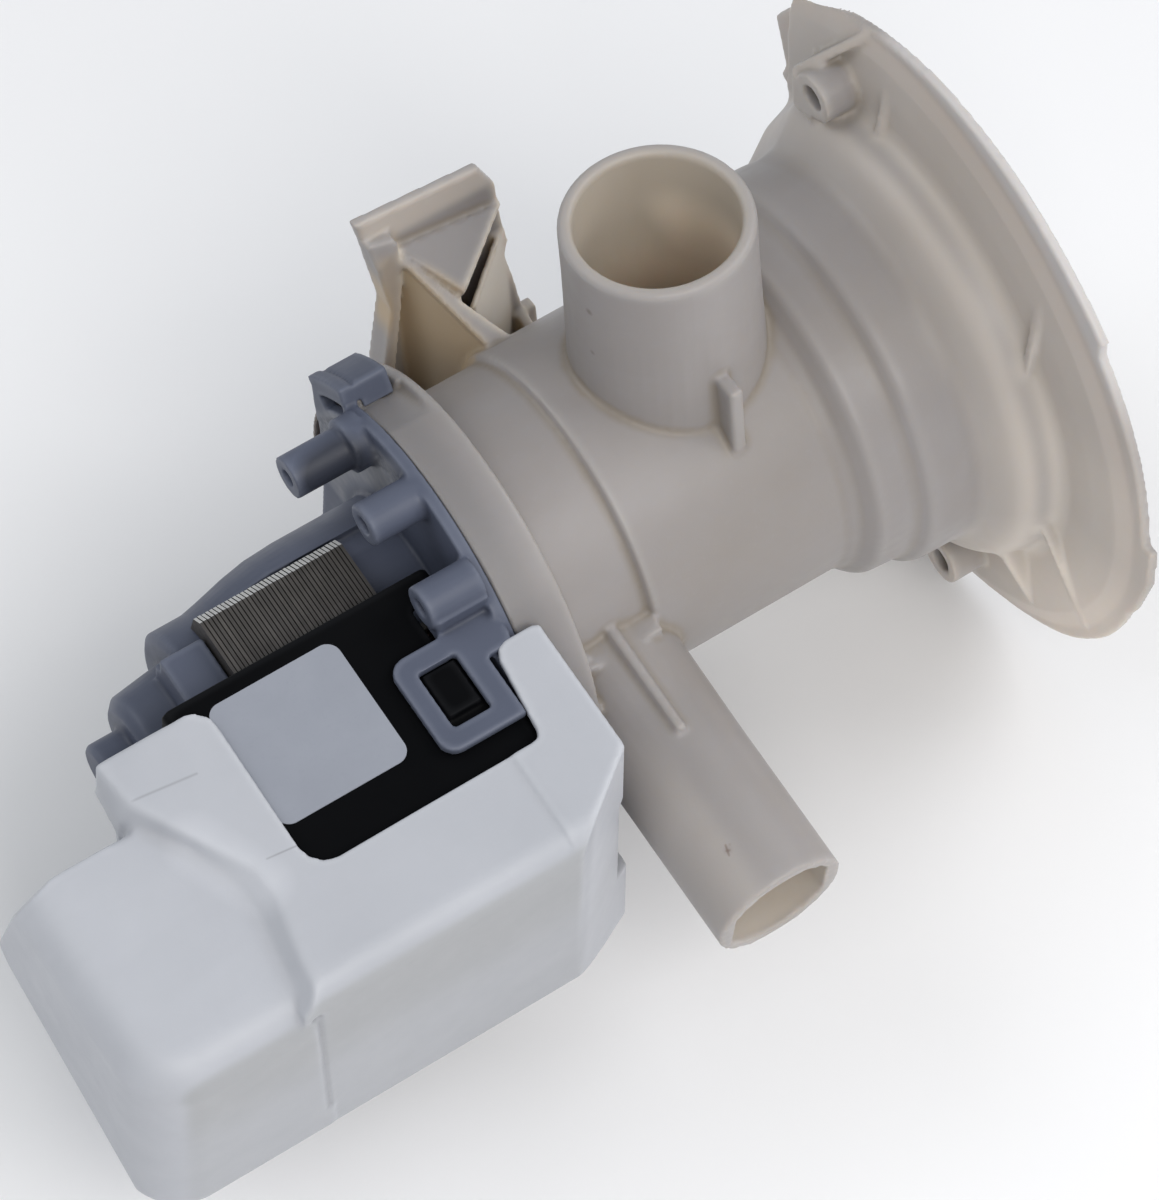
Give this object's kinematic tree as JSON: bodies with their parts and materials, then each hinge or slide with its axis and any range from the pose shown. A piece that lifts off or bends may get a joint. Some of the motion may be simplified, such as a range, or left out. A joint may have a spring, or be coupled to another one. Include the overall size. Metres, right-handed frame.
{
  "type": "washer drain pump",
  "caption": "Drain pump with a lint filter barrel, upright inlet spigot, side outlet spigot, round screw-on flange and a side motor with a white terminal cover.",
  "frame": {"origin": "centre of the two flange screws, on the flange's front face, which is also on the pump's axis", "axes": "+X along the pump's axis and out of the filter mouth, +Z along the inlet spigot, -Y towards the outlet and motor side"},
  "size_m": [0.178, 0.1076, 0.1115],
  "materials": {
    "cream_moulding": "satin moulded plastic, warm light grey",
    "grey_moulding": "satin moulded plastic, slate grey",
    "black_rubber": "smooth rubber",
    "core_steel": "stamped sheet edges, lightly oiled",
    "bobbin_plastic": "satin moulded plastic",
    "copper_wire": "enamelled copper wire",
    "black_moulding": "gloss moulded plastic",
    "label_film": "pale sticker, bare",
    "terminal_metal": "tinned brass blade",
    "white_moulding": "satin moulded plastic, cool white",
    "magnet_ferrite": "sintered ferrite",
    "shaft_steel": "ground steel",
    "bearing_bronze": "sintered bronze",
    "impeller_plastic": "glass-filled moulded plastic",
    "filter_plastic": "satin moulded plastic"
  },
  "bodies": {
    "housing": {"pump_housing": "cream_moulding", "motor_bracket": "grey_moulding", "chamber_seal": "black_rubber", "stator_core": "core_steel", "upper_bobbin": "bobbin_plastic", "lower_bobbin": "bobbin_plastic", "upper_winding": "copper_wire", "lower_winding": "copper_wire", "coil_cover": "black_moulding", "label": "label_film", "live_terminal": "terminal_metal", "neutral_terminal": "terminal_metal", "terminal_cover": "white_moulding", "rear_bearing": "bearing_bronze", "front_bearing": "bearing_bronze", "rear_bearing_seat": "black_rubber", "front_bearing_seat": "black_rubber", "bearing_plate": "grey_moulding", "shaft_seal": "black_rubber"},
    "rotor": {"rotor_magnet": "magnet_ferrite", "rotor_shaft": "shaft_steel", "shaft_driver": "impeller_plastic", "driver_pads": "black_rubber"},
    "impeller": {"impeller": "impeller_plastic", "impeller_cap": "impeller_plastic"},
    "seal_ring": {"filter_seal": "black_rubber"},
    "filter": {"filter_plug": "filter_plastic", "filter_basket": "filter_plastic"}
  },
  "joints": [
    {"name": "rotor_spin", "type": "hinge", "parent": "housing", "child": "rotor", "pos_m": [-0.114, 0, 0], "axis": [1, 0, 0], "continuous": true},
    {"name": "impeller_play", "type": "hinge", "parent": "rotor", "child": "impeller", "pos_m": [-0.08, 0, 0], "axis": [1, 0, 0], "range_deg": [-120, 120]},
    {"name": "filter_travel", "type": "slide", "parent": "housing", "child": "seal_ring", "axis": [1, 0, 0], "range_m": [0, 0.0091]},
    {"name": "filter_turn", "type": "hinge", "parent": "seal_ring", "child": "filter", "pos_m": [-0.0266, 0, 0], "axis": [1, 0, 0], "range_deg": [0, 270]}
  ],
  "couplings": [
    {"joint": "filter_travel", "follows": "filter_turn", "m_per_rad": 0.0019099}
  ]
}
